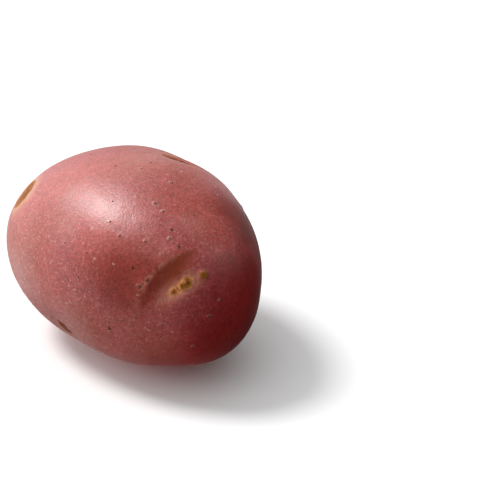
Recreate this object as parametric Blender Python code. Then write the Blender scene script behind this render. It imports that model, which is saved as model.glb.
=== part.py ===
"""A whole red-skinned potato: one grown, solid piece that rests on a small flat spot.

Sizes are in metres. +X is the rose end, where most eyes are; -X is the stem end.
The body is a rounded grid of squares. It is shaped as a whole, then each eye and
the stem scar are pressed in, and last the underside is settled on its rest spot.
"""

from math import cos, exp, pi, radians, sin, tan
from typing import NamedTuple

import bmesh
import bpy
from mathutils import Matrix, Vector
from mathutils.bvhtree import BVHTree

MM = 0.001

# The whole body.
LENGTH = 88 * MM
WIDTH = 66 * MM
HEIGHT = 60 * MM
FULLNESS = 2.15  # 2 gives a plain ellipsoid, more gives fuller shoulders
TAPER = 0.12  # how much narrower the rose end is than the middle, as a share
ARCH = 2.0 * MM  # how far the two ends hang below the middle
BOW = 1.9 * MM  # how far the two ends swing to the -Y side of the middle
LEAN = 2  # degrees the rose end dips below level

# The broad flat on the far shoulder, beside the stem end.
SHOULDER_LONGITUDE = 150
SHOULDER_LATITUDE = 10
SHOULDER_SPREAD = 35  # degrees
SHOULDER_SINK = 0.067  # share of the radius

# The rest spot on the underside.
REST_PRESS = 0.6 * MM  # how much of the underside the spot takes away
REST_BLEND = 0.3 * MM  # height over which the skin rounds into the spot

# The eyes.
EYE_SHAPE = 0.34  # hollow's size across the brow, as a share of the eye's width
BROW_SETBACK = 0.20  # from the hollow's middle to the brow, share of the width
BROW_THICKNESS = 0.10  # share of the width
BROW_BEND = 0.10  # how far the brow's two tips curl toward the rose end

# The stem scar.
STEM_LONGITUDE = -146
STEM_LATITUDE = 23
STEM_RADIUS = 4.5 * MM
STEM_DEPTH = 0.6 * MM

# The grid.
GRID_SQUARES = 26  # along each edge of the starting cube
MARK_REACH = 2  # a mark moves the skin this many of its own sizes around it
ON_TABLE = REST_BLEND / 100  # points lower than this lie exactly on the rest plane

SKIN_RED = (0.40, 0.082, 0.080, 1.0)
SKIN_ROUGHNESS = 0.45


class Eye(NamedTuple):
    """One eye: a shallow hollow with a brow on its stem-end side."""

    longitude: float  # degrees about +Z from +X, seen from the body's middle
    latitude: float  # degrees above the level plane
    turn: float  # degrees the brow is turned from facing the stem end
    width: float  # length of the brow
    depth: float  # how deep the hollow is
    brow: float  # how high the brow stands


EYES = (
    Eye(-24, 16, -12, 22 * MM, 0.8 * MM, 0.4 * MM),
    Eye(88, 61, -45, 14 * MM, 0.8 * MM, 0.4 * MM),
    Eye(-90, -30, 27, 8 * MM, 0.6 * MM, 0.3 * MM),
    Eye(28, -22, 0, 13 * MM, 1.0 * MM, 0.5 * MM),
    Eye(60, 14, 10, 13 * MM, 1.0 * MM, 0.5 * MM),
    Eye(112, -12, 0, 12 * MM, 1.0 * MM, 0.4 * MM),
    Eye(150, 38, -8, 12 * MM, 1.0 * MM, 0.4 * MM),
    Eye(165, -28, 0, 11 * MM, 0.9 * MM, 0.4 * MM),
    Eye(-140, -32, 12, 10 * MM, 0.9 * MM, 0.3 * MM),
    Eye(8, -48, 0, 11 * MM, 0.9 * MM, 0.4 * MM),
)


def direction(longitude, latitude):
    """The unit vector that points out of the body's middle at these angles."""
    turn = radians(longitude)
    lift = radians(latitude)
    return Vector((cos(lift) * cos(turn), cos(lift) * sin(turn), sin(lift)))


def clear_scene():
    for obj in list(bpy.data.objects):
        bpy.data.objects.remove(obj)


def box_of(bm):
    """The lowest and the highest corner of the points' box."""
    low = Vector(min(v.co[i] for v in bm.verts) for i in range(3))
    high = Vector(max(v.co[i] for v in bm.verts) for i in range(3))
    return low, high


def fit_box(bm):
    """Scales the body to its three sizes and centres its box on the origin."""
    low, high = box_of(bm)
    size = high - low
    scale = Vector((LENGTH / size.x, WIDTH / size.y, HEIGHT / size.z))
    bmesh.ops.translate(bm, verts=bm.verts, vec=-(low + high) / 2)
    bmesh.ops.scale(bm, verts=bm.verts, vec=scale)


def round_grid():
    """A cube cut into a grid and blown up into a ball of radius 1."""
    bm = bmesh.new()
    bmesh.ops.create_cube(bm, size=2)
    bmesh.ops.subdivide_edges(
        bm, edges=bm.edges, cuts=GRID_SQUARES - 1, use_grid_fill=True
    )
    for vert in bm.verts:
        even = Vector(tan(side * pi / 4) for side in vert.co)
        vert.co = even.normalized()
    return bm


def superellipse_radius(unit):
    """How far the body reaches along this direction, in shares of each half size."""
    total = sum(abs(side) ** FULLNESS for side in unit)
    return total ** (-1 / FULLNESS)


def shoulder_share(unit):
    """How much of the shoulder's flat is felt along this direction, 0 to 1."""
    apart = unit.angle(direction(SHOULDER_LONGITUDE, SHOULDER_LATITUDE))
    return exp(-((apart / radians(SHOULDER_SPREAD)) ** 2))


def shape_body(bm):
    """Turns the ball into the potato's whole form, without eyes."""
    for vert in bm.verts:
        unit = vert.co.copy()
        reach = superellipse_radius(unit) * (1 - SHOULDER_SINK * shoulder_share(unit))
        share = unit * reach
        slim = 1 - TAPER * share.x
        vert.co = Vector(
            (
                share.x * LENGTH / 2,
                share.y * slim * WIDTH / 2 - BOW * share.x**2,
                share.z * HEIGHT / 2 - ARCH * share.x**2,
            )
        )
    lean = Matrix.Rotation(radians(LEAN), 3, "Y")
    bmesh.ops.rotate(bm, verts=bm.verts, cent=Vector(), matrix=lean)
    fit_box(bm)


def patch_frame(tree, longitude, latitude, turn):
    """The skin's own frame at these angles: X faces the stem end, Z faces out."""
    heading = direction(longitude, latitude)
    spot, normal, _, _ = tree.ray_cast(heading * LENGTH, -heading)
    to_stem = Vector((-1, 0, 0))
    across = (to_stem - normal * to_stem.dot(normal)).normalized()
    along = normal.cross(across)
    frame = Matrix((across, along, normal)).transposed().to_4x4()
    frame.translation = spot
    return frame @ Matrix.Rotation(radians(turn), 4, "Z")


def eye_height(eye, across, along):
    """The eye's height over the skin, at distances given in shares of its width."""
    tips = (along * 2) ** 2
    hollow = exp(-((across * 2 / EYE_SHAPE) ** 2) - tips)
    over_brow = across - BROW_SETBACK + BROW_BEND * tips
    brow = exp(-((over_brow / BROW_THICKNESS) ** 2) - tips / 2)
    return eye.brow * brow - eye.depth * hollow


def stem_height(across, along):
    """The stem scar's height: a round dimple, distances in shares of its radius."""
    return -STEM_DEPTH * exp(-(across**2) - along**2)


def press(bm, frame, size, height):
    """Moves the skin within reach of one frame by height(across, along)."""
    to_patch = frame.inverted()
    outward = frame.col[2].to_3d()
    for vert in bm.verts:
        local = to_patch @ vert.co
        if local.length < MARK_REACH * size:
            vert.co += outward * height(local.x / size, local.y / size)


def press_marks(bm):
    """Presses every eye and the stem scar into the finished body."""
    tree = BVHTree.FromBMesh(bm)
    for eye in EYES:
        frame = patch_frame(tree, eye.longitude, eye.latitude, eye.turn)
        press(bm, frame, eye.width, lambda x, y, eye=eye: eye_height(eye, x, y))
    frame = patch_frame(tree, STEM_LONGITUDE, STEM_LATITUDE, 0)
    press(bm, frame, STEM_RADIUS, stem_height)


def settled(height):
    """A height above the rest plane, once the skin under the plane is pressed flat."""
    if height <= 0:
        return 0.0
    if height < 2 * REST_BLEND:
        return height**2 / (4 * REST_BLEND)
    return height - REST_BLEND


def settle(bm):
    """Flattens the rest spot and stands the body on it, box centred on the origin."""
    fit_box(bm)
    for vert in bm.verts:
        vert.co.z = settled(vert.co.z + HEIGHT / 2 - REST_PRESS)
    fit_box(bm)
    bmesh.ops.translate(bm, verts=bm.verts, vec=Vector((0, 0, HEIGHT / 2)))
    for vert in bm.verts:
        if vert.co.z < ON_TABLE:
            vert.co.z = 0.0


def skin_material():
    material = bpy.data.materials.new("potato_skin")
    material.use_nodes = True
    shader = material.node_tree.nodes["Principled BSDF"]
    shader.inputs["Base Color"].default_value = SKIN_RED
    shader.inputs["Roughness"].default_value = SKIN_ROUGHNESS
    shader.inputs["Metallic"].default_value = 0.0
    return material


def add_object(bm, name):
    mesh = bpy.data.meshes.new(name)
    bm.to_mesh(mesh)
    bm.free()
    mesh.materials.append(skin_material())
    mesh.polygons.foreach_set("use_smooth", [True] * len(mesh.polygons))
    obj = bpy.data.objects.new(name, mesh)
    bpy.context.scene.collection.objects.link(obj)


def main():
    clear_scene()
    body = round_grid()
    shape_body(body)
    press_marks(body)
    settle(body)
    bmesh.ops.triangulate(body, faces=body.faces)
    bmesh.ops.recalc_face_normals(body, faces=body.faces)
    add_object(body, "potato")


main()
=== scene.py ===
"""The looks of one whole red-skinned potato, resting on a pale studio floor.

Lengths are in metres where no other unit is named. +X is the rose end, where most
eyes are, and -X is the stem end. The skin is one piece: a fine grid laid on the frame's
solid, then lifted and pressed into brows, hollows, buds and a corky stem scar. Marks
that are smaller than the grid are drawn by the skin's material.
"""

import random
from math import cos, pi, radians, sin, tan
from typing import NamedTuple

import bmesh
import bpy
import numpy as np
from mathutils import Matrix, Vector, noise
from mathutils.bvhtree import BVHTree


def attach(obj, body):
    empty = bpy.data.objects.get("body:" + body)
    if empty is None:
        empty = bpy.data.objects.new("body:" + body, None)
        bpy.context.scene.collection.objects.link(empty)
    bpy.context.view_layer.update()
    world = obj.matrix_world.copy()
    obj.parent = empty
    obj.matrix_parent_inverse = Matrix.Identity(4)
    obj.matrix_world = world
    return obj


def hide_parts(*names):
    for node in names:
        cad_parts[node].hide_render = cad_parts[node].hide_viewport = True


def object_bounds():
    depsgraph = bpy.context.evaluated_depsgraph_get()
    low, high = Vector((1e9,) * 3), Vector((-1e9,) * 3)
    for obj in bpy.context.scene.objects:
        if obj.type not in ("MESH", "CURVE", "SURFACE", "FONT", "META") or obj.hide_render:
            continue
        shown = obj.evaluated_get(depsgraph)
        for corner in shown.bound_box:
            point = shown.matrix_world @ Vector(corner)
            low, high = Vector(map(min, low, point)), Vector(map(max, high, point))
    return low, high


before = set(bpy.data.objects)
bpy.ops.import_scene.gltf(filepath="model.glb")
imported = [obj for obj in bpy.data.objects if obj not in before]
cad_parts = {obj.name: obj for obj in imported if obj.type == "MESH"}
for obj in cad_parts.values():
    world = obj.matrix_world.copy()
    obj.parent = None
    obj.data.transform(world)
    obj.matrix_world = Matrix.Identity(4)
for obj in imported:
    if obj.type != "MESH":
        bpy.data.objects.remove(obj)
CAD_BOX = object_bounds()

MM = 0.001
NODE = "potato"
MIDDLE = (CAD_BOX[0] + CAD_BOX[1]) / 2
LENGTH = CAD_BOX[1].x - CAD_BOX[0].x
SPLITS = 2  # times that each square of the grid is split in four
FAR_VALUE = 3.0  # what a mark's distance reads away from every mark


class Eye(NamedTuple):
    """One eye. Its own sizes are in millimetres: across runs toward the brow."""

    longitude: float  # degrees about +Z from +X, seen from the potato's middle
    latitude: float  # degrees above the level plane
    turn: float  # degrees the brow is turned from facing the stem end
    width: float  # length of the brow
    aside: float  # along, from the eye's middle to the brow's middle
    brow_at: float  # across, from the eye's middle to the brow's crest
    brow: float  # how high the brow's lip stands
    rust: float  # how brown the corky patch and the buds are, from 0 to 1
    patch: tuple  # corky patch: across, along, half size across, half size along, slant
    buds: tuple  # each bud: across, along, radius


EYES = (
    Eye(
        -24, 16, -12, 25, 3.0, 4.5, 0.25, 0, (-4.0, 0.2, 2.4, 6.2, 0.23),
        (
            (-3.2, 2.6, 0.9), (-4.2, -0.3, 1.1), (-4.9, -1.8, 1.2),
            (-3.7, -2.4, 0.9), (-6.5, -6.4, 1.2),
        ),
    ),
    Eye(
        88, 61, -45, 15, 0, 3.4, 0.25, 1, (0.4, 0.8, 2.2, 4.8, 0.12),
        ((0.8, -0.8, 1.0), (0.3, -2.4, 0.9)),
    ),
    Eye(
        -90, -30, 27, 8, 0, 1.8, 0.10, 1, (0.9, -0.8, 2.3, 3.8, 0),
        ((-0.2, 0.7, 1.0), (-0.1, -0.8, 1.0), (-0.1, -2.3, 0.8)),
    ),
    Eye(
        28, -22, 0, 13, 0, 2.6, 0.40, 0.4, (-1.6, 0, 1.5, 3.2, 0.2),
        ((-1.6, 1.0, 0.9), (-1.4, -1.3, 0.8)),
    ),
    Eye(
        60, 14, 10, 13, 0, 2.6, 0.40, 0.3, (-1.5, 0.4, 1.5, 3.0, -0.1),
        ((-1.5, 0.2, 1.0), (-1.8, 2.1, 0.7)),
    ),
    Eye(112, -12, 0, 12, 0, 2.4, 0.35, 0.5, (-1.4, 0, 1.3, 2.6, 0), ((-1.4, -0.4, 0.9),)),
    Eye(
        150, 38, -8, 12, 0, 2.4, 0.35, 0.4, (-1.4, 0, 1.3, 2.8, 0.1),
        ((-1.4, 0.9, 0.8), (-1.2, -1.2, 0.7)),
    ),
    Eye(165, -28, 0, 11, 0, 2.2, 0.30, 0.6, (-1.2, 0, 1.1, 2.4, 0), ((-1.2, 0.3, 0.8),)),
    Eye(-140, -32, 12, 10, 0, 2.0, 0.30, 0.5, (-1.2, 0, 1.1, 2.2, 0), ((-1.2, -0.2, 0.8),)),
    Eye(
        8, -48, 0, 11, 0, 2.2, 0.35, 0.5, (-1.4, 0, 1.2, 2.6, 0.1),
        ((-1.4, 0.8, 0.8), (-1.3, -1.0, 0.7)),
    ),
)

# An eye's form, in shares of its width.
EYE_REACH = 1.2  # how far out the eye changes the skin
BROW_BEND = 0.13  # how far the brow's ends turn back
BROW_OUTSIDE = 0.12  # half width of the brow's slope away from the eye
BROW_INSIDE = 0.07  # half width of its slope into the eye
# The pale lip is dust together with a painted highlight along the brow's crest.
LIP_WIDTH = 0.018  # sets the half width of the pale lip, which widens along the brow
HOLLOW_ACROSS = 0.02  # where the brown hollow's middle lies
HOLLOW_ALONG = -0.12
HOLLOW_HALF_ACROSS = 0.13  # half its size
HOLLOW_HALF_ALONG = 0.32

PATCH_REACH = 20  # mm: past this, a point is far from an eye's cork and buds
CORK_DEPTH = 0.18  # mm
BUD_HEIGHT = 0.28  # mm
BUD_MOAT = 0.12  # mm below the skin, round each bud
BUD_REACH = 2.2  # in radii: how far out a bud is drawn

STEM_LONGITUDE = -143
STEM_LATITUDE = 24
STEM_RADIUS = 5.2  # mm
STEM_REACH = 25  # mm: past this, a point is far from the scar
STEM_RIM = 0.22  # mm above the skin
STEM_CUP = 0.5  # mm below it
STEM_BUTTON = 0.35  # mm above the cup, in its middle

# Broad places where the skin differs: longitude and latitude in degrees, half size across,
# half size along and depth in mm, and painted light. A depth below zero is a swelling. Above
# zero the last column is painted shade, which darkens and browns the skin; below zero it is
# paler skin, partly dust and partly painted sheen and light.
DENTS = (
    (-47, 12, 8.5, 10, 0.8, 0.65), (4, 19, 3.5, 11, -0.5, -0.4), (-35, 15, 5, 8, 0, 1.0),
    (-55, 19, 13, 16, 0, 0.42), (-6, 37, 6, 9, 0, -0.6), (-85, 35, 9, 9, 0, -0.5),
    (-78, -22, 9, 14, 0, -0.6), (27, 31, 9, 13, 0, 0.95), (2, 13, 5, 8, 0, -0.3),
    (-118, -2, 11, 16, 0, -0.65), (100, 78, 11, 16, 0, -0.5),
    (-25, -26, 9, 15, 1.0, 0.0), (-27, -47, 12, 8, 0.8, 0.0), (98, 53, 7, 9, 0.8, 0.0),
)
DENT_TURN = -12  # degrees that each is turned, as the largest eye is
DENT_REACH = 30  # mm: past this, a dent changes nothing

# The largest pores and flecks on the side that is seen first: longitude, latitude, radius in
# mm, and kind, which runs from 0, a pale fleck, to 1, a dark pit.
LARGE_PORES = (
    (-24, 52, 0.8, 0.6), (-19, 36, 0.8, 1), (-49, 35, 0.7, 0.7), (-57, 42, 0.5, 1),
    (-68, 24, 0.5, 0.8), (-41, 20, 0.8, 1), (-71, 11, 0.4, 1), (-75, 7, 0.6, 0.5),
    (-18, 28, 0.8, 1), (-61, 54, 0.4, 1), (-53, -12, 0.8, 1), (-38, 12, 1.0, 0.8),
    (-34, 15, 0.9, 0.8), (-68, 36, 0.9, 0), (-62, 22, 0.6, 0), (-51, 21, 0.5, 0),
    (-71, 28, 0.5, 0), (14, 69, 0.6, 0.3), (4, 63, 0.8, 0.5), (-20, 46, 0.8, 0.5),
    (-21, 32, 0.8, 0.5), (-39, 8, 0.4, 0), (-36, -7, 0.5, 0), (-34, -8, 0.5, 0),
    (-29, -4, 0.6, 0.6), (-25, -7, 0.5, 0), (-6, 4, 0.7, 0.5), (-11, -1, 0.8, 0.7),
    (-17, -14, 0.6, 0.6), (-77, 4, 0.5, 0.3), (-73, 3, 0.6, 0.2), (-66, 1, 0.5, 0),
)
PORE_REACH = 2.0  # in radii: how far out a pore is drawn
PORE_LIFT = 0.05  # mm

# Small pores: the least angle to each neighbour, seen from the middle, and their radii in mm.
PORE_GAP = radians(6.5)
EYE_GAP = radians(9)
STEM_GAP = radians(12)
SMALL_PORE_RADII = (0.35, 0.65)

# How far apart the gentle lumps are.
BROAD_LUMPS = 17 * MM
FINE_LUMPS = 5 * MM
FINE_LUMPS_SHIFT = Vector((7, 3, 1))  # keeps the finer lumps from following the broad ones

# Heights above the floor between which the lumps, and then every lift, fade in.
LUMPS_FADE_IN = (0.4 * MM, 4 * MM)
LIFT_FADES_IN = (0.2 * MM, 1.5 * MM)


class SkinSettings(bpy.types.PropertyGroup):
    """Sizes and colours of the skin."""

    squares: bpy.props.IntProperty(
        name="Base squares", description="Grid squares along each edge before it is refined",
        default=32, min=8, max=32,
    )
    swell: bpy.props.FloatProperty(
        name="Swell", description="Height of the broad, gentle lumps",
        default=0.30 * MM, unit="LENGTH",
    )
    ripple: bpy.props.FloatProperty(
        name="Ripple", description="Height of the finer lumps",
        default=0.07 * MM, unit="LENGTH",
    )
    small_pores: bpy.props.IntProperty(
        name="Small pores", description="Pores scattered over the whole skin",
        default=70, min=0, max=150,
    )
    seed: bpy.props.IntProperty(
        name="Seed", description="Changes where the small pores fall", default=7,
    )
    rose: bpy.props.FloatVectorProperty(
        name="Rose", description="The skin's main red", subtype="COLOR",
        default=(0.42, 0.056, 0.044), size=3, min=0, max=1,
    )
    brownish: bpy.props.FloatVectorProperty(
        name="Brownish", description="The red where the skin is sunburnt", subtype="COLOR",
        default=(0.35, 0.044, 0.024), size=3, min=0, max=1,
    )
    purplish: bpy.props.FloatVectorProperty(
        name="Purplish", description="The red where the skin is thickest", subtype="COLOR",
        default=(0.32, 0.030, 0.036), size=3, min=0, max=1,
    )
    # Laid as dust and also as painted sheen.
    dust_and_sheen: bpy.props.FloatVectorProperty(
        name="Dust", description="The pale bloom that lies on the skin", subtype="COLOR",
        default=(0.66, 0.36, 0.32), size=3, min=0, max=1,
    )
    cork: bpy.props.FloatVectorProperty(
        name="Cork", description="The tan patch in an eye", subtype="COLOR",
        default=(0.62, 0.27, 0.10), size=3, min=0, max=1,
    )
    bud: bpy.props.FloatVectorProperty(
        name="Bud", description="The brown of the buds", subtype="COLOR",
        default=(0.27, 0.092, 0.006), size=3, min=0, max=1,
    )
    scar: bpy.props.FloatVectorProperty(
        name="Stem scar", description="The orange tan of the stem scar", subtype="COLOR",
        default=(0.31, 0.115, 0.036), size=3, min=0, max=1,
    )


class StageSettings(bpy.types.PropertyGroup):
    """The floor, the lights and the camera."""

    floor_radius: bpy.props.FloatProperty(
        name="Floor radius", description="Where the floor starts to curve up",
        default=1.5, unit="LENGTH",
    )
    wall_height: bpy.props.FloatProperty(
        name="Wall height", description="Height of the floor's upturned edge",
        default=0.9, unit="LENGTH",
    )
    floor_grey: bpy.props.FloatProperty(
        name="Floor", description="How pale the floor is", default=0.86, min=0, max=1,
    )
    key: bpy.props.FloatProperty(
        name="Key light", description="Strength of the soft light from the upper left",
        default=2.25,
    )
    key_angle: bpy.props.FloatProperty(
        name="Key softness", description="How wide the soft light looks from the potato",
        default=radians(20), subtype="ANGLE",
    )
    fill: bpy.props.FloatProperty(
        name="Fill", description="Strength of the light from all round", default=0.485,
    )
    slope: bpy.props.FloatProperty(
        name="Slope", description="How much stronger the fill is on the stem-end side",
        default=0.80,
    )
    rim: bpy.props.FloatProperty(
        name="Rim light", description="Strength of the wide light from behind the stem end",
        default=0.65,
    )
    gloss: bpy.props.FloatProperty(
        name="Gloss", description="Strength of the wide light that only the shine shows",
        default=1.15,
    )
    side: bpy.props.FloatProperty(
        name="Side light", description="Strength of the faint light from the rose end",
        default=0.24,
    )
    bounce: bpy.props.FloatProperty(
        name="Bounce", description="Strength of the wide light from below", default=1.05,
    )
    azimuth: bpy.props.FloatProperty(
        name="Azimuth", description="The camera's place round the potato",
        default=radians(50), subtype="ANGLE",
    )
    elevation: bpy.props.FloatProperty(
        name="Elevation", description="The camera's height above level",
        default=radians(27), subtype="ANGLE",
    )
    distance: bpy.props.FloatProperty(
        name="Distance", description="From the camera to the potato",
        default=0.60, unit="LENGTH",
    )
    lens: bpy.props.FloatProperty(
        name="Lens", description="Focal length in millimetres", default=143.4,
    )
    aside: bpy.props.FloatProperty(
        name="Aim aside", description="How far to the right of the potato the camera aims",
        default=32.7 * MM, unit="LENGTH",
    )


def direction(longitude, latitude):
    """The unit vector that points out of the potato's middle at these angles."""
    turn = radians(longitude)
    lift = radians(latitude)
    return Vector((cos(lift) * cos(turn), cos(lift) * sin(turn), sin(lift)))


# ---------------------------------------------------------------- laying the grid


def solid_tree():
    """A search tree of the frame's solid."""
    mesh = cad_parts[NODE].data
    points = [vert.co for vert in mesh.vertices]
    return BVHTree.FromPolygons(points, [tuple(face.vertices) for face in mesh.polygons])


def land(tree, heading):
    """Where a line from outside toward the middle meets the solid, and its normal."""
    spot, normal, _, _ = tree.ray_cast(MIDDLE + heading * LENGTH, -heading)
    return spot, normal


def laid_grid(tree, squares):
    """A cube's grid, blown up evenly and laid on the solid."""
    bm = bmesh.new()
    bmesh.ops.create_cube(bm, size=2)
    bmesh.ops.subdivide_edges(bm, edges=bm.edges, cuts=squares - 1, use_grid_fill=True)
    for vert in bm.verts:
        heading = Vector(tan(side * pi / 4) for side in vert.co).normalized()
        vert.co = land(tree, heading)[0]
    return bm


def refined_mesh(bm, name):
    """The grid as a mesh, each square split in sixteen on a smooth surface."""
    coarse = bpy.data.meshes.new(name + "_coarse")
    bm.to_mesh(coarse)
    bm.free()
    obj = bpy.data.objects.new(name + "_coarse", coarse)
    bpy.context.scene.collection.objects.link(obj)
    split = obj.modifiers.new("split", "SUBSURF")
    split.levels = SPLITS
    split.render_levels = SPLITS
    graph = bpy.context.evaluated_depsgraph_get()
    mesh = bpy.data.meshes.new_from_object(obj.evaluated_get(graph))
    mesh.name = name
    bpy.data.objects.remove(obj)
    bpy.data.meshes.remove(coarse)
    return mesh


# ---------------------------------------------------------------- marks on the skin


class Patch:
    """A place on the skin with its own axes, and every point's place in them, in mm."""

    RING_STEPS = 8
    RING_RADIUS = 0.18  # as a share of the distance from the potato's middle

    def __init__(self, tree, points, longitude, latitude, turn=0.0):
        heading = direction(longitude, latitude)
        spot = land(tree, heading)[0]
        out = self.outward(tree, heading)
        to_stem = Vector((-1, 0, 0))
        across = (to_stem - out * to_stem.dot(out)).normalized()
        axes = Matrix((across, out.cross(across), out)).transposed()
        axes = axes @ Matrix.Rotation(radians(turn), 3, "Z")
        self.local = (points - np.array(spot)) @ np.array(axes) / MM
        self.across = self.local[:, 0]
        self.along = self.local[:, 1]
        self.far = np.linalg.norm(self.local, axis=1)

    @classmethod
    def outward(cls, tree, heading):
        """The skin's normal, evened out over a ring so that one facet can't tilt it."""
        side = heading.orthogonal().normalized()
        total = land(tree, heading)[1].copy()
        for step in range(cls.RING_STEPS):
            swing = Matrix.Rotation(step * 2 * pi / cls.RING_STEPS, 3, heading) @ side
            total += land(tree, (heading + swing * cls.RING_RADIUS).normalized())[1]
        return total.normalized()


def bell(distance):
    """1 in the middle, falling smoothly to almost nothing at a distance of 2."""
    return np.exp(-(distance**2))


def smooth_between(value, low, high):
    """0 below low, 1 above high, eased between."""
    share = np.clip((value - low) / (high - low), 0, 1)
    return share * share * (3 - 2 * share)


class Marks:
    """The skin's lift and the fields that its material reads, with a value for each point."""

    FIELDS = (
        "hollow", "ridge", "dusk", "rust", "patch", "stem", "bud", "bud_reach",
        "pore", "pore_reach", "pore_kind",
    )

    def __init__(self, tree, points):
        count = len(points)
        self.tree = tree
        self.points = points
        self.lift = np.zeros(count)  # mm
        self.hollow = np.zeros(count)
        self.ridge = np.zeros(count)
        # Painted shade where above zero; dust and painted sheen where below zero.
        self.dusk = np.zeros(count)
        self.rust = np.zeros(count)
        # How far the nearest corky patch and the stem scar are, where 1 is the edge.
        self.patch = np.full(count, FAR_VALUE)
        self.stem = np.full(count, FAR_VALUE)
        # The way from the nearest bud's or pore's middle, in its radii, and whether one is near.
        self.bud = np.full((count, 3), FAR_VALUE)
        self.bud_reach = np.zeros(count)
        self.pore = np.full((count, 3), FAR_VALUE)
        self.pore_reach = np.zeros(count)
        self.pore_kind = np.zeros(count)

    def add_eye(self, eye):
        place = Patch(self.tree, self.points, eye.longitude, eye.latitude, eye.turn)
        near = place.far < eye.width * EYE_REACH
        along = (place.along - eye.aside) / (eye.width / 2)
        fade = np.exp(-np.abs(along) ** 2.5)
        crest = eye.brow_at - BROW_BEND * eye.width * along**2
        beyond = place.across - crest
        outside = bell(beyond / (BROW_OUTSIDE * eye.width))
        inside = bell(beyond / (BROW_INSIDE * eye.width))
        self.lift += near * eye.brow * np.where(beyond > 0, outside, inside) * fade
        lip = LIP_WIDTH * eye.width * (1.7 + np.clip(along, -1, 1.5))
        self.ridge = np.maximum(self.ridge, near * bell(beyond / lip) * fade)
        across_share = (place.across - HOLLOW_ACROSS * eye.width) / (HOLLOW_HALF_ACROSS * eye.width)
        along_share = (place.along - HOLLOW_ALONG * eye.width) / (HOLLOW_HALF_ALONG * eye.width)
        self.hollow = np.maximum(self.hollow, near * bell(across_share) * bell(along_share))
        self.rust[near] = eye.rust
        self.add_cork(place, eye.patch)
        for across, along_mm, radius in eye.buds:
            self.add_bud(place, across, along_mm, radius)

    def add_cork(self, place, patch):
        across, along, half_across, half_along, slant = patch
        beside = place.along - along
        sideways = place.across - across - slant * beside
        distance = np.hypot(sideways / half_across, beside / half_along)
        distance = np.where(place.far < PATCH_REACH, distance, FAR_VALUE)
        self.patch = np.minimum(self.patch, distance)
        self.lift -= CORK_DEPTH * bell(distance / 1.1)

    def add_bud(self, place, across, along, radius):
        """A round bud in a narrow moat."""
        offset = (place.local - np.array([across, along, 0.0])) / radius
        distance = np.hypot(offset[:, 0], offset[:, 1])
        distance = np.where(place.far < PATCH_REACH, distance, FAR_VALUE)
        self.lift += BUD_HEIGHT * bell(distance / 0.9) - BUD_MOAT * bell((distance - 1.7) / 0.5)
        closer = distance < np.minimum(BUD_REACH, np.linalg.norm(self.bud, axis=1))
        offset[:, 2] = 0
        self.bud[closer] = offset[closer]
        self.bud_reach[closer] = 1

    def add_dent(self, longitude, latitude, half_across, half_along, depth, dusk):
        place = Patch(self.tree, self.points, longitude, latitude, DENT_TURN)
        share = bell(np.hypot(place.across / half_across, place.along / half_along))
        share *= place.far < DENT_REACH
        self.lift -= depth * share
        # Adds painted shade above zero, and dust with painted sheen below zero.
        self.dusk += dusk * share

    def add_stem(self):
        """A shallow cup with a raised rim and a small button in its middle."""
        place = Patch(self.tree, self.points, STEM_LONGITUDE, STEM_LATITUDE)
        distance = np.where(place.far < STEM_REACH, place.far / STEM_RADIUS, FAR_VALUE)
        self.stem = np.minimum(self.stem, distance)
        rim = bell((distance - 1.1) / 0.22)
        cup = bell(distance / 0.6)
        button = bell(distance / 0.2)
        self.lift += STEM_RIM * rim - STEM_CUP * cup + STEM_BUTTON * button

    def add_pore(self, heading, radius, kind):
        spot = land(self.tree, heading)[0]
        offset = (self.points - np.array(spot)) / (radius * MM)
        distance = np.linalg.norm(offset, axis=1)
        close = distance < PORE_REACH
        self.pore[close] = offset[close]
        self.pore_reach[close] = 1
        self.pore_kind[close] = kind
        self.lift += PORE_LIFT * bell(distance / 1.2) * (distance < FAR_VALUE)

    def add_swell(self, swell, ripple):
        """Gentle lumps all over, which stay off the rest spot."""
        lumps = np.empty(len(self.points))
        for index, point in enumerate(self.points):
            spot = Vector(point)
            broad = noise.noise(spot / BROAD_LUMPS)
            fine = noise.noise(spot / FINE_LUMPS + FINE_LUMPS_SHIFT)
            lumps[index] = (swell * broad + ripple * fine) / MM
        self.lift += lumps * smooth_between(self.points[:, 2], *LUMPS_FADE_IN)


def scatter_pores(marks, count, seed):
    """Small pores all over, each clear of the others and of the eyes and stem scar."""
    dice = random.Random(seed)
    taken = [direction(longitude, latitude) for longitude, latitude, _, _ in LARGE_PORES]
    eyes = [direction(eye.longitude, eye.latitude) for eye in EYES]
    stem = direction(STEM_LONGITUDE, STEM_LATITUDE)
    while len(taken) < count + len(LARGE_PORES):
        heading = Vector(dice.gauss(0, 1) for _ in range(3)).normalized()
        if min(heading.angle(pore) for pore in taken) < PORE_GAP:
            continue
        if min(heading.angle(eye) for eye in eyes) < EYE_GAP:
            continue
        if heading.angle(stem) < STEM_GAP:
            continue
        taken.append(heading)
        marks.add_pore(heading, dice.uniform(*SMALL_PORE_RADII), dice.random())


def mark_skin(tree, points, settings):
    marks = Marks(tree, points)
    for eye in EYES:
        marks.add_eye(eye)
    for dent in DENTS:
        marks.add_dent(*dent)
    marks.add_stem()
    for longitude, latitude, radius, kind in LARGE_PORES:
        marks.add_pore(direction(longitude, latitude), radius, kind)
    scatter_pores(marks, settings.small_pores, settings.seed)
    marks.add_swell(settings.swell, settings.ripple)
    return marks


def store_field(mesh, name, values):
    """Saves one field on the mesh, for the material to read."""
    kind = "FLOAT" if values.ndim == 1 else "FLOAT_VECTOR"
    field = mesh.attributes.new(name, kind, "POINT")
    key = "value" if values.ndim == 1 else "vector"
    field.data.foreach_set(key, values.astype(np.float32).ravel())


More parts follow.
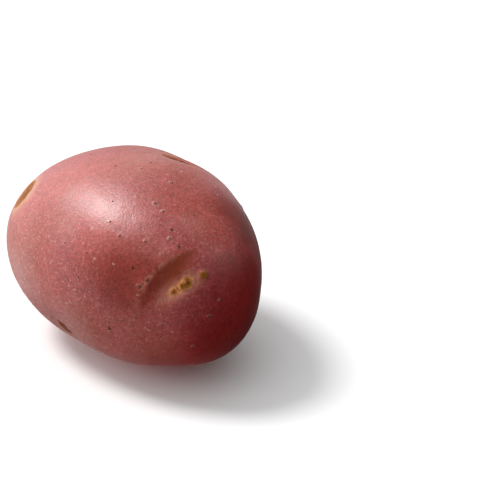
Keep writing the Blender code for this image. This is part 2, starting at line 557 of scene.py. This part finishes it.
def lift_skin(mesh, points, lift):
    """Moves each point along its normal, and keeps the rest spot on the floor."""
    normals = np.empty(len(points) * 3, np.float32)
    mesh.vertices.foreach_get("normal", normals)
    held = lift * smooth_between(points[:, 2], *LIFT_FADES_IN) * MM
    moved = points + normals.reshape(-1, 3) * held[:, None]
    moved[:, 2] = np.maximum(moved[:, 2], 0)
    mesh.vertices.foreach_set("co", moved.astype(np.float32).ravel())
    mesh.update()


# ---------------------------------------------------------------- materials


class Sum:
    """One socket's value, which Python's own signs can work on."""

    def __init__(self, recipe, socket):
        self.recipe = recipe
        self.socket = socket

    def __add__(self, other):
        return self.recipe.maths("ADD", self, other)

    __radd__ = __add__

    def __sub__(self, other):
        return self.recipe.maths("SUBTRACT", self, other)

    def __rsub__(self, other):
        return self.recipe.maths("SUBTRACT", other, self)

    def __mul__(self, other):
        return self.recipe.maths("MULTIPLY", self, other)

    __rmul__ = __mul__


class Recipe:
    """A material's or a world's nodes, added one by one."""

    def __init__(self, owner, shader="Principled BSDF"):
        owner.use_nodes = True
        self.tree = owner.node_tree
        self.shader = self.tree.nodes[shader]

    def node(self, kind, inputs, output=0, **settings):
        """Adds one node: its settings are set first, then its sockets."""
        made = self.tree.nodes.new(kind)
        for name, value in settings.items():
            setattr(made, name, value)
        for name, value in inputs.items():
            self.feed(made.inputs[name], value)
        return Sum(self, made.outputs[output])

    def feed(self, socket, value):
        if isinstance(value, Sum):
            self.tree.links.new(value.socket, socket)
        else:
            socket.default_value = value

    def maths(self, operation, *values):
        return self.node("ShaderNodeMath", dict(enumerate(values)), operation=operation)

    def smooth(self, value, low, high):
        """0 on the low side, 1 on the high side, eased between."""
        inputs = {"Value": value, "From Min": low, "From Max": high}
        return self.node("ShaderNodeMapRange", inputs, interpolation_type="SMOOTHSTEP")

    def blend(self, share, under, over, mode="MIX"):
        """Lays one colour over another."""
        inputs = {0: share, 6: under, 7: over}
        return self.node("ShaderNodeMix", inputs, 2, data_type="RGBA", blend_type=mode)

    def vector(self, operation, output=0, **inputs):
        places = {"first": 0, "second": 1, "scale": "Scale"}
        fed = {places[name]: value for name, value in inputs.items()}
        return self.node("ShaderNodeVectorMath", fed, output, operation=operation)

    def field(self, name, output="Fac"):
        return self.node("ShaderNodeAttribute", {}, output, attribute_name=name)

    def cloud(self, place, size, seed=0.0, detail=2.0, roughness=0.5, output=0):
        """Soft noise whose lumps are about this many millimetres across."""
        inputs = {
            "Vector": place, "W": seed, "Scale": 1 / size,
            "Detail": detail, "Roughness": roughness,
        }
        return self.node("ShaderNodeTexNoise", inputs, output, noise_dimensions="4D")

    def cells(self, place, size, feature="F1", output="Distance"):
        """Cells about this many millimetres across."""
        inputs = {"Vector": place, "Scale": 1 / size}
        return self.node("ShaderNodeTexVoronoi", inputs, output, feature=feature)


def colour(values):
    return (*values, 1.0)


# Colours that are laid on the skin, and tints that it is multiplied by.
# The first two tints are painted shade: under the rose end, and in dents and shaded places.
UNDER_SHADE_TINT = (0.80, 0.26, 0.30)
PAINTED_SHADE_TINT = (0.64, 0.35, 0.19)
HOLLOW_BROWN = (0.24, 0.034, 0.007)
LIP_DUST_AND_HIGHLIGHT = (0.60, 0.25, 0.16)
HALO_TAN = (0.50, 0.21, 0.12)
CORK_GRAIN = (0.48, 0.19, 0.06)
RUST = (0.20, 0.060, 0.028)
RUSTY_BUD = (0.15, 0.046, 0.026)
BUD_CORE = (0.095, 0.028, 0.002)
SCAR_HALO = (0.54, 0.28, 0.15)
SCAR_RINGS = (0.21, 0.070, 0.018)
SCAR_CENTRE = (0.13, 0.040, 0.012)
PORE_RIM = (0.66, 0.34, 0.26)
PORE_PIT = (0.055, 0.022, 0.006)
SHEEN_TINT = (1.0, 0.80, 0.76)

# Ways out of the potato, toward the painted shade under the rose end and toward the side with dust
# and painted sheen.
UNDER_ROSE_END = (0.55, 0.55, -0.62)
UNDER_STEM_END = (-0.6, -0.55, -0.45)

# A pore's pale rim lies a little off its pit, in radii, and is flatter.
RIM_SHIFT = (0.35, 0.25, -0.35)
RIM_SQUASH = (0.9, 0.9, 1.7)


class SkinRecipe(Recipe):
    """The skin's nodes. Each step lays its colours over self.skin."""

    def __init__(self, material, settings):
        super().__init__(material)
        self.settings = settings
        here = self.node("ShaderNodeTexCoord", {}, "Object")
        self.place = self.vector("SCALE", first=here, scale=1 / MM)
        # Soft noise, from the broadest to the finest, that several steps read.
        self.second = self.cloud(self.place, 17, seed=4.0)
        self.middle = self.cloud(self.place, 5, seed=2.0, detail=3)
        self.fine = self.cloud(self.place, 1.6, seed=3.0, detail=3, roughness=0.6)
        self.pebble = self.cloud(self.place, 0.75, seed=12.0)
        self.grain = self.cloud(self.place, 0.52, seed=5.0, detail=1)
        self.wobble = self.middle - 0.5

    def lay(self, share, over, mode="MIX"):
        """Lays a colour, or another socket's value, over the skin so far."""
        over = over if isinstance(over, Sum) else colour(over)
        self.skin = self.blend(share, self.skin, over, mode)

    def toward(self, way):
        """How far along this way each point lies, in millimetres."""
        return self.vector("DOT_PRODUCT", "Value", first=self.place, second=way)

    def length(self, vector):
        return self.vector("LENGTH", "Value", first=vector)

    def highest(self, first, *others):
        for other in others:
            first = self.maths("MAXIMUM", first, other)
        return first

    def roughened(self, name, size, seed, reach):
        """A field of ways from a mark's middle, moved about by fine noise."""
        ragged = self.cloud(self.place, size, seed=seed, output=1)
        shift = self.vector("SCALE", first=ragged, scale=reach)
        moved = self.vector("ADD", first=self.field(name, "Vector"), second=shift)
        return self.vector("SUBTRACT", first=moved, second=(reach / 2,) * 3)

    def colour_body(self):
        """Reds that change broadly, then finely, with painted shade under the rose end and in
        dents.
        """
        smooth = self.smooth
        rose = colour(self.settings.rose)
        brownish = colour(self.settings.brownish)
        broad = self.cloud(self.place, 26, seed=1.0)
        self.skin = self.blend(smooth(broad, 0.38, 0.62), rose, brownish)
        self.lay(0.7 * smooth(self.second, 0.36, 0.72), self.settings.purplish)
        pebbled = smooth(self.pebble, 0.38, 0.62)
        self.lay(1.0, 0.44 + 0.22 * self.middle + 0.56 * self.fine + 0.28 * pebbled, "MULTIPLY")
        # Painted shade: the skin darkens toward the underside of the rose end.
        self.under_shade = smooth(self.toward(UNDER_ROSE_END) + 10 * (self.second - 0.5), -9, 7)
        self.lay(self.under_shade, UNDER_SHADE_TINT, "MULTIPLY")
        # Painted shade in dents and shaded places, where the field is above zero.
        self.dusk = self.field("dusk") + 0.3 * self.wobble
        self.painted_shade = smooth(self.dusk, 0.05, 1.0)
        self.lay(self.painted_shade, PAINTED_SHADE_TINT, "MULTIPLY")

    def add_bloom_and_sheen(self):
        """The pale bloom: fine grains, netted lines and scattered flecks, with dust and painted
        sheen laid broadly on the lower stem-end side and in pale patches.
        """
        smooth = self.smooth
        swirl = self.cloud(self.place, 1.5, seed=8.0, output=1)
        bent = self.vector("ADD", first=self.place, second=swirl)
        edges = self.cells(bent, 1.5, "DISTANCE_TO_EDGE")
        self.net = smooth(edges, 0.10, 0.01) * smooth(self.second, 0.35, 0.60)
        fleck = smooth(self.cells(self.place, 1.1), 0.26, 0.10) * smooth(self.middle, 0.50, 0.62)
        bloom_and_sheen = 0.36 * smooth(self.grain, 0.54, 0.70) + 0.07 * self.net + 0.30 * fleck
        bloom_and_sheen = bloom_and_sheen + 0.08 * smooth(self.fine, 0.50, 0.72)
        # A broad paleness toward the lower stem-end side: dust and painted sheen.
        dust_and_sheen_side = smooth(self.toward(UNDER_STEM_END) + 30 * (self.second - 0.5), -18, 36)
        bloom_and_sheen = (0.6 + 0.8 * dust_and_sheen_side - 0.5 * self.under_shade - 0.5 * self.painted_shade) * bloom_and_sheen
        bloom_and_sheen = bloom_and_sheen + 0.17 * dust_and_sheen_side
        # Dust and painted sheen where the field is below zero.
        self.bloom_and_sheen = bloom_and_sheen + 0.30 * smooth(self.dusk, -0.05, -1.0)
        self.lay(self.bloom_and_sheen, self.settings.dust_and_sheen)

    def add_eyes(self):
        """A brownish hollow, a pale lip of dust and painted highlight, and a corky patch in a paler
        halo.
        """
        smooth = self.smooth
        self.hollow = self.field("hollow")
        browned = 0.95 * self.hollow * smooth(self.hollow + self.wobble, 0.10, 0.65)
        self.lay(browned, HOLLOW_BROWN)
        # A pale lip on the brow's crest: dust and a painted highlight.
        self.lay(0.30 * self.field("ridge") * smooth(self.fine, 0.30, 0.60), LIP_DUST_AND_HIGHLIGHT)
        patch = self.field("patch") + 1.1 * (self.fine - 0.5) + 0.9 * self.wobble
        self.lay(0.42 * smooth(patch, 1.70, 0.75), HALO_TAN)
        cork = smooth(patch, 1.05, 0.55)
        tan = colour(self.settings.cork)
        corky = self.blend(smooth(self.grain, 0.35, 0.65), tan, colour(CORK_GRAIN))
        rust = self.field("rust")
        corky = self.blend(rust * smooth(self.middle, 0.30, 0.50), corky, colour(RUST))
        self.lay((0.68 + 0.25 * rust) * cork, corky)
        self.corked = cork
        self.add_buds(rust)

    def add_buds(self, rust):
        smooth = self.smooth
        distance = self.length(self.roughened("bud", 0.8, 9.0, 0.9))
        in_bud = smooth(self.field("bud_reach"), 0.90, 0.99)
        self.bud = in_bud * smooth(distance, 1.15, 0.70)
        core = in_bud * smooth(distance, 0.62, 0.30) * smooth(self.grain, 0.35, 0.55)
        brown = self.blend(rust, colour(self.settings.bud), colour(RUSTY_BUD))
        self.lay(0.92 * self.bud, brown)
        self.lay(0.85 * core, BUD_CORE)

    def add_stem(self):
        """The stem scar: orange cork with a pale halo."""
        smooth = self.smooth
        stem = self.field("stem") + 0.5 * self.wobble + 0.35 * (self.fine - 0.5)
        self.lay(0.75 * smooth(stem, 1.70, 1.00), SCAR_HALO)
        rings = smooth(self.cloud(self.place, 0.9, seed=6.0, detail=3), 0.40, 0.62)
        scar = self.blend(rings, colour(self.settings.scar), colour(SCAR_RINGS))
        scar = self.blend(0.6 * smooth(stem, 0.60, 0.20), scar, colour(SCAR_CENTRE))
        self.lay(0.95 * smooth(stem, 1.12, 0.82), scar)
        self.corked = self.highest(self.corked, smooth(stem, 1.12, 0.92))

    def add_pores(self):
        """The pores: a dark pit in a broken, pale rim."""
        smooth = self.smooth
        aligned = self.roughened("pore", 0.5, 7.0, 1.9)
        in_pore = smooth(self.field("pore_reach"), 0.90, 0.99)
        kind = self.field("pore_kind")
        beside = self.vector("ADD", first=aligned, second=RIM_SHIFT)
        beside = self.vector("MULTIPLY", first=beside, second=RIM_SQUASH)
        rim = in_pore * smooth(self.length(beside), 1.15, 0.60)
        self.rim = rim * smooth(kind, 0.95, 0.60)
        pit = in_pore * smooth(self.length(aligned), 0.85, 0.40)
        self.pit = pit * smooth(kind, 0.32, 0.42)
        self.lay(0.40 * self.rim, PORE_RIM)
        self.lay((0.25 + 0.65 * kind) * self.pit, PORE_PIT)

    def relief(self):
        """The bump that stands for what is finer than the mesh."""
        height = 0.040 * self.pebble + 0.035 * self.fine + 0.050 * self.grain
        height = height + 0.012 * self.net + 0.05 * self.rim - 0.12 * self.pit
        height = height + 0.05 * self.bud * self.grain + 0.06 * self.corked * (self.fine - 0.5)
        return self.node("ShaderNodeBump", {"Height": height, "Distance": MM, "Strength": 1.0})

    def finish(self):
        """Feeds the shiny shader, and mixes in a dry one.

        Cork, buds and pits are dry, so they don't shine. Hollow skin, and skin under painted
        shade, shines less.
        """
        bump = self.relief()
        shiny = {
            "Base Color": self.skin,
            "Roughness": 0.36 + 0.10 * self.fine + 0.30 * self.bloom_and_sheen + 0.15 * self.rim,
            "Normal": bump,
            "Specular IOR Level": 1.0,
            "Sheen Weight": 0.18,
            "Sheen Roughness": 0.5,
            "Sheen Tint": colour(SHEEN_TINT),
        }
        for name, value in shiny.items():
            self.feed(self.shader.inputs[name], value)
        dry = self.node(
            "ShaderNodeBsdfPrincipled",
            {"Base Color": self.skin, "Roughness": 1.0, "Normal": bump, "Specular IOR Level": 0.1},
        )
        dryness = self.highest(
            self.corked, self.bud, self.pit, 0.8 * self.hollow, 0.5 * self.painted_shade, 0.6 * self.under_shade
        )
        shine = Sum(self, self.shader.outputs[0])
        both = self.node("ShaderNodeMixShader", {0: 0.9 * dryness, 1: shine, 2: dry})
        self.feed(self.tree.nodes["Material Output"].inputs["Surface"], both)


def skin_material(settings):
    material = bpy.data.materials.new("potato_skin")
    recipe = SkinRecipe(material, settings)
    recipe.colour_body()
    recipe.add_bloom_and_sheen()
    recipe.add_eyes()
    recipe.add_stem()
    recipe.add_pores()
    recipe.finish()
    return material


def plain_material(name, grey, roughness):
    material = bpy.data.materials.new(name)
    recipe = Recipe(material)
    recipe.feed(recipe.shader.inputs["Base Color"], colour((grey, grey, grey)))
    recipe.feed(recipe.shader.inputs["Roughness"], roughness)
    recipe.feed(recipe.shader.inputs["Specular IOR Level"], 0.1)
    return material


# ---------------------------------------------------------------- operators


class POTATO_OT_skin(bpy.types.Operator):
    """Lay the skin on the frame's solid, with its eyes, buds, pores and stem scar"""

    bl_idname = "potato.skin"
    bl_label = "Potato skin"

    def execute(self, context):
        settings = context.scene.potato_skin
        tree = solid_tree()
        mesh = refined_mesh(laid_grid(tree, settings.squares), "potato_skin")
        points = np.empty(len(mesh.vertices) * 3, np.float32)
        mesh.vertices.foreach_get("co", points)
        points = points.reshape(-1, 3).astype(float)
        marks = mark_skin(tree, points, settings)
        lift_skin(mesh, points, marks.lift)
        for name in Marks.FIELDS:
            store_field(mesh, name, getattr(marks, name))
        mesh.materials.clear()
        mesh.materials.append(skin_material(settings))
        mesh.polygons.foreach_set("use_smooth", [True] * len(mesh.polygons))
        skin = bpy.data.objects.new("potato_skin", mesh)
        context.scene.collection.objects.link(skin)
        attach(skin, "root")
        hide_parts(NODE)
        return {"FINISHED"}


# The floor's upturned edge, and the sides of its circle.
RISE_STEPS = 8
RISE_BEND = 10  # degrees that each step turns up
FLOOR_SIDES = 64

# The ways from the potato to the key light and to the fill's strong side.
KEY_WAY = (-0.49, -0.285, 0.825)
FILL_WAY = (-0.62, -0.52, 0.58)

# The wide lights. Each has the name of its strength's setting, the way to it, how wide it looks
# in degrees, whether it lights the skin and whether it shines on it.
WIDE_LIGHTS = (
    ("rim", (-0.82, 0.50, 0.06), 90, True, True),
    ("bounce", (-0.60, -0.64, -0.48), 100, True, False),
    ("side", (0.88, 0.15, -0.10), 60, True, False),
    ("gloss", (-0.79, -0.22, 0.56), 90, False, True),
)

SENSOR_WIDTH = 36  # mm
AIM_ABOVE = 0.85 * MM  # how far above the potato's middle the camera aims


class POTATO_OT_stage(bpy.types.Operator):
    """Set the pale floor, the soft light and the camera"""

    bl_idname = "potato.stage"
    bl_label = "Stage"

    def execute(self, context):
        settings = context.scene.potato_stage
        self.add_floor(context, settings)
        self.add_light(context, settings)
        self.add_camera(context, settings)
        context.scene.view_settings.view_transform = "Standard"
        return {"FINISHED"}

    def add_floor(self, context, settings):
        """A round floor whose edge curves up into a low wall, spun from its profile."""
        bm = bmesh.new()
        rise = settings.wall_height
        profile = [bm.verts.new((0, 0, 0)), bm.verts.new((settings.floor_radius, 0, 0))]
        for step in range(1, RISE_STEPS + 1):
            bend = radians(step * RISE_BEND)
            spot = (settings.floor_radius + rise * sin(bend), 0, rise * (1 - cos(bend)))
            profile.append(bm.verts.new(spot))
        edges = [bm.edges.new(pair) for pair in zip(profile, profile[1:])]
        bmesh.ops.spin(
            bm, geom=profile + edges, cent=(0, 0, 0), axis=(0, 0, 1),
            angle=2 * pi, steps=FLOOR_SIDES, use_merge=True,
        )
        bmesh.ops.remove_doubles(bm, verts=bm.verts, dist=0.1 * MM)
        bmesh.ops.recalc_face_normals(bm, faces=bm.faces)
        mesh = bpy.data.meshes.new("floor")
        bm.to_mesh(mesh)
        bm.free()
        mesh.polygons.foreach_set("use_smooth", [True] * len(mesh.polygons))
        mesh.materials.append(plain_material("floor_paper", settings.floor_grey, 0.9))
        floor = bpy.data.objects.new("floor", mesh)
        context.scene.collection.objects.link(floor)
        # The floor's own glow would flatten the potato's underside.
        floor.visible_diffuse = False
        floor.visible_glossy = False
        # The bounce light comes from below, so the floor lets it through.
        floor.visible_shadow = False

    def add_light(self, context, settings):
        self.add_sun(context, "key", KEY_WAY, settings.key, settings.key_angle)
        for name, way, width, lights, shines in WIDE_LIGHTS:
            sun = self.add_sun(context, name, way, getattr(settings, name), radians(width))
            sun.visible_diffuse = lights
            sun.visible_glossy = shines
        context.scene.world = self.sloped_world(settings)
        # The fill doesn't shine on the skin, so that the dark side stays deep.
        context.scene.world.cycles_visibility.glossy = False

    def add_sun(self, context, name, way, strength, angle):
        lamp = bpy.data.lights.new(name + "_light", "SUN")
        lamp.energy = strength
        lamp.angle = angle
        sun = bpy.data.objects.new(name + "_light", lamp)
        sun.rotation_euler = Vector(way).to_track_quat("Z", "Y").to_euler()
        context.scene.collection.objects.link(sun)
        return sun

    def sloped_world(self, settings):
        """Even white light that grows toward the stem-end side and fades on the other."""
        world = bpy.data.worlds.new("studio")
        recipe = Recipe(world, "Background")
        heading = recipe.node("ShaderNodeTexCoord", {}, "Generated")
        toward = recipe.vector("DOT_PRODUCT", "Value", first=heading, second=FILL_WAY)
        recipe.feed(recipe.shader.inputs["Color"], (1, 1, 1, 1))
        strength = recipe.maths("MAXIMUM", settings.fill + settings.slope * toward, 0.0)
        recipe.feed(recipe.shader.inputs["Strength"], strength)
        return world

    def add_camera(self, context, settings):
        """The camera stands to one side of the potato and aims past it."""
        turn = settings.azimuth
        lift = settings.elevation
        back = Vector((sin(turn) * cos(lift), -cos(turn) * cos(lift), sin(lift)))
        right = Vector((cos(turn), sin(turn), 0))
        lens = bpy.data.cameras.new("camera")
        lens.lens = settings.lens
        lens.sensor_width = SENSOR_WIDTH
        lens.clip_start = 0.05
        lens.clip_end = 20
        camera = bpy.data.objects.new("camera", lens)
        aim = MIDDLE + right * settings.aside + back.cross(right) * AIM_ABOVE
        camera.location = aim + back * settings.distance
        camera.rotation_euler = back.to_track_quat("Z", "Y").to_euler()
        context.scene.collection.objects.link(camera)
        context.scene.camera = camera


class POTATO_PT_panel(bpy.types.Panel):
    """The potato's settings and its two steps"""

    bl_idname = "POTATO_PT_panel"
    bl_label = "Potato"
    bl_space_type = "VIEW_3D"
    bl_region_type = "UI"
    bl_category = "Potato"

    def draw(self, context):
        for settings, step in (
            (context.scene.potato_skin, POTATO_OT_skin.bl_idname),
            (context.scene.potato_stage, POTATO_OT_stage.bl_idname),
        ):
            box = self.layout.box()
            for name in settings.__annotations__:
                box.prop(settings, name)
            box.operator(step)


bl_info = {
    "name": "Red-skinned potato",
    "version": (1, 0, 0),
    "blender": (4, 5, 0),
    "location": "3D View > Sidebar > Potato",
    "description": "Builds one whole red-skinned potato on a studio floor",
    "category": "Object",
}

CLASSES = (SkinSettings, StageSettings, POTATO_OT_skin, POTATO_OT_stage, POTATO_PT_panel)


def register():
    for each in CLASSES:
        bpy.utils.register_class(each)
    bpy.types.Scene.potato_skin = bpy.props.PointerProperty(type=SkinSettings)
    bpy.types.Scene.potato_stage = bpy.props.PointerProperty(type=StageSettings)


def unregister():
    del bpy.types.Scene.potato_stage
    del bpy.types.Scene.potato_skin
    for each in reversed(CLASSES):
        bpy.utils.unregister_class(each)


def main():
    register()
    bpy.ops.potato.skin()
    bpy.ops.potato.stage()


if __name__ == "__main__":
    main()
